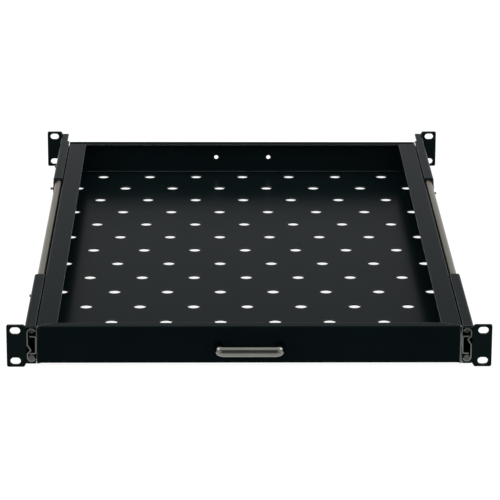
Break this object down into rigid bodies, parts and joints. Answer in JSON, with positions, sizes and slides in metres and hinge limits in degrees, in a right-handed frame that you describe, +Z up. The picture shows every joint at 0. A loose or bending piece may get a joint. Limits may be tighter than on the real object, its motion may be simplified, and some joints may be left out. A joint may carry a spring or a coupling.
{
  "type": "sliding rack shelf",
  "caption": "Sliding 19-inch rack shelf: a perforated black sheet-metal tray with a bow handle on ball-bearing slides, held by ear brackets on the front and rear rails.",
  "frame": {"origin": "front face of the front ears, midway between the ears and midway up the rack unit", "axes": "+X to the shelf's right seen from the front, +Y from the front rail to the rear rail, +Z up"},
  "size_m": [0.4826, 0.767, 0.044],
  "materials": {
    "black_coat": "matt black powder coat",
    "handle_nickel": "satin nickel plating on die-cast metal",
    "zinc": "bright zinc plating, lightly drawn",
    "zinc_screw": "zinc plated, turned",
    "dark_screw": "black oxide",
    "cage_steel": "plain pressed steel",
    "ball_steel": "polished bearing steel",
    "stop_nylon": "moulded grey nylon",
    "black_rubber": "moulded rubber"
  },
  "bodies": {
    "frame": {"front_bracket_left": "black_coat", "rear_bracket_left": "black_coat", "slide_outer_left": "zinc", "raceway_stops_left": "stop_nylon", "slide_bumper_left": "black_rubber", "front_bracket_screws_left": "zinc_screw", "rear_bracket_screws_left": "zinc_screw", "front_bracket_right": "black_coat", "rear_bracket_right": "black_coat", "slide_outer_right": "zinc", "raceway_stops_right": "stop_nylon", "slide_bumper_right": "black_rubber", "front_bracket_screws_right": "zinc_screw", "rear_bracket_screws_right": "zinc_screw"},
    "shelf": {"tray": "black_coat", "handle": "handle_nickel", "handle_screws": "dark_screw", "slide_inner_left": "zinc", "tray_screws_left": "dark_screw", "slide_inner_right": "zinc", "tray_screws_right": "dark_screw"},
    "cage_left": {"ball_cage_left": "cage_steel", "balls_left": "ball_steel"},
    "cage_right": {"ball_cage_right": "cage_steel", "balls_right": "ball_steel"}
  },
  "joints": [
    {"name": "shelf_slide", "type": "slide", "parent": "frame", "child": "shelf", "axis": [0, -1, 0], "range_m": [0, 0.5]},
    {"name": "cage_slide_left", "type": "slide", "parent": "frame", "child": "cage_left", "axis": [0, -1, 0], "range_m": [0, 0.25]},
    {"name": "cage_slide_right", "type": "slide", "parent": "frame", "child": "cage_right", "axis": [0, -1, 0], "range_m": [0, 0.25]}
  ],
  "couplings": [
    {"joint": "cage_slide_left", "follows": "shelf_slide", "ratio": 0.5},
    {"joint": "cage_slide_right", "follows": "shelf_slide", "ratio": 0.5}
  ]
}
